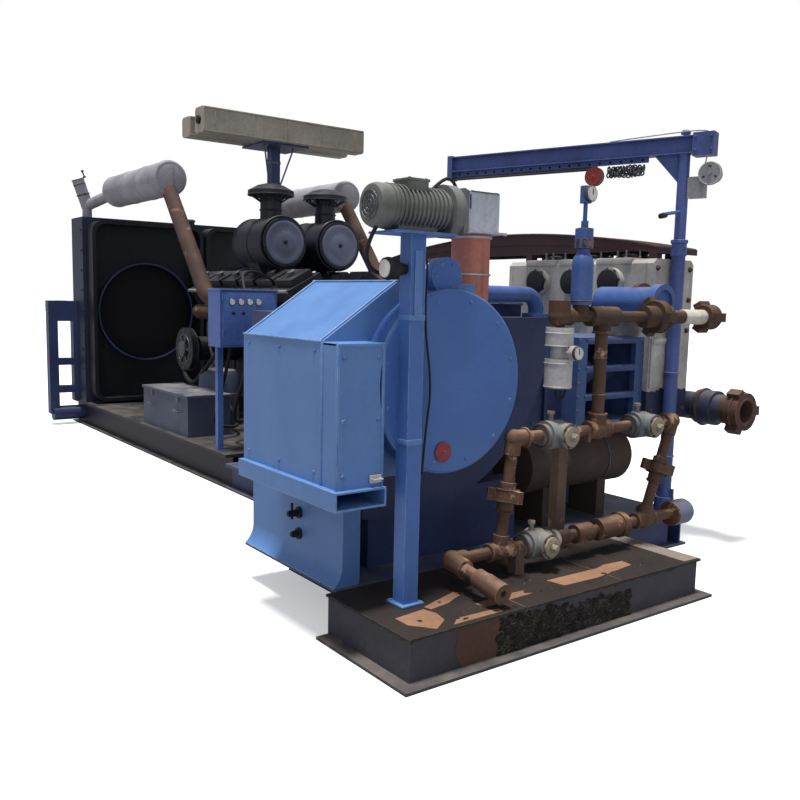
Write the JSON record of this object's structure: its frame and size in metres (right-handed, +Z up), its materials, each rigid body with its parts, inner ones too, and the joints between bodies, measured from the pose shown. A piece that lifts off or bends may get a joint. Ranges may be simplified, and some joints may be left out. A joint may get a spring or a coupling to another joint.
{
  "type": "triplex mud pump unit",
  "caption": "Skid-mounted triplex mud pump with diesel drive, high-pressure valve manifold, swivelling jib, exhaust silencers and radiator.",
  "frame": {"origin": "on the pump skid's flat underside, under the wall between the power end and the plunger cradle, beneath the skid's fifth cross beam", "axes": "+X along the plungers from the power end to the fluid end, +Y back along the engine to the radiator, +Z up"},
  "size_m": [4.025, 8.14, 3.37],
  "materials": {
    "navy_paint": "satin, worn",
    "deck_rust": "rough, rusted",
    "guard_blue": "satin, sun-faded",
    "drum_blue": "satin, worn",
    "pipe_rust": "rough, rusted",
    "top_pipe_rust": "rough, rusted",
    "valve_grey": "rough, worn",
    "bottle_blue": "satin, worn",
    "cream_paint": "satin, rust-streaked",
    "canopy_maroon": "satin, faded",
    "duct_red": "satin, faded",
    "blower_grey": "satin, worn",
    "jib_blue": "satin, worn",
    "winch_grey": "satin, worn",
    "hook_red": "satin, worn",
    "engine_black": "satin, oily",
    "cleaner_black": "satin, dusty",
    "box_blue": "satin, worn",
    "battery_grey": "satin, dusty",
    "muffler_grey": "rough, stained",
    "exhaust_brown": "rough, rusted",
    "light_beige": "satin, worn",
    "steel_dark": "dull, greasy"
  },
  "bodies": {
    "unit": {"air_cleaner_left": "cleaner_black", "air_cleaner_right": "cleaner_black", "battery_box": "battery_grey", "belt_guard": "navy_paint", "blower": "blower_grey", "canopy_posts": "canopy_maroon", "canopy_roof": "canopy_maroon", "control_box": "box_blue", "crossover_pipe": "bottle_blue", "cylinder_heads": "engine_black", "discharge_cross": "bottle_blue", "drive_shaft": "steel_dark", "engine_block": "engine_black", "engine_skid": "navy_paint", "exhaust_riser_left": "exhaust_brown", "exhaust_riser_right": "exhaust_brown", "fan_shroud_left": "engine_black", "fan_shroud_right": "engine_black", "filter_pair": "valve_grey", "fluid_end": "cream_paint", "front_platform": "deck_rust", "gearbox": "engine_black", "guard_box": "guard_blue", "guard_drum": "drum_blue", "guard_post": "drum_blue", "guard_stand": "guard_blue", "jib_mast": "jib_blue", "light_bars": "light_beige", "light_mast": "navy_paint", "lower_receiver": "deck_rust", "manifold_leg_left": "pipe_rust", "manifold_leg_right": "pipe_rust", "manifold_lower_run": "pipe_rust", "manifold_middle_run": "pipe_rust", "manifold_supports": "deck_rust", "manifold_top_run": "top_pipe_rust", "muffler_left": "muffler_grey", "muffler_right": "muffler_grey", "plug_valves": "valve_grey", "power_end": "navy_paint", "pulsation_bottle": "bottle_blue", "pump_cradle": "navy_paint", "pump_skid": "navy_paint", "radiator": "navy_paint", "rear_pull_tube": "navy_paint", "side_compressor": "engine_black", "step_ladder": "navy_paint", "suction_manifold": "navy_paint", "vent_duct": "duct_red"},
    "jib": {"jib_boom": "jib_blue", "jib_winch": "winch_grey", "hook_block": "steel_dark"},
    "winch_wheel": {"winch_wheel": "winch_grey"},
    "rain_flap_left": {"rain_flap_left": "exhaust_brown"},
    "rain_flap_right": {"rain_flap_right": "exhaust_brown"}
  },
  "joints": [
    {"name": "jib_swivel", "type": "hinge", "parent": "unit", "child": "jib", "pos_m": [0.8, -2.65, 1.95], "axis": [0, 0, 1], "range_deg": [-180, 180]},
    {"name": "winch_crank", "type": "hinge", "parent": "jib", "child": "winch_wheel", "pos_m": [0.80835, -2.8361, 2.4], "axis": [-0.9537, -0.3007, 0], "continuous": true},
    {"name": "flap_hinge_left", "type": "hinge", "parent": "unit", "child": "rain_flap_left", "pos_m": [-0.8534, 4.38, 2.9154], "axis": [0, 1, 0], "range_deg": [0, 75]},
    {"name": "flap_hinge_right", "type": "hinge", "parent": "unit", "child": "rain_flap_right", "pos_m": [1.7134, 4.38, 2.9154], "axis": [0, -1, 0], "range_deg": [0, 75]}
  ]
}
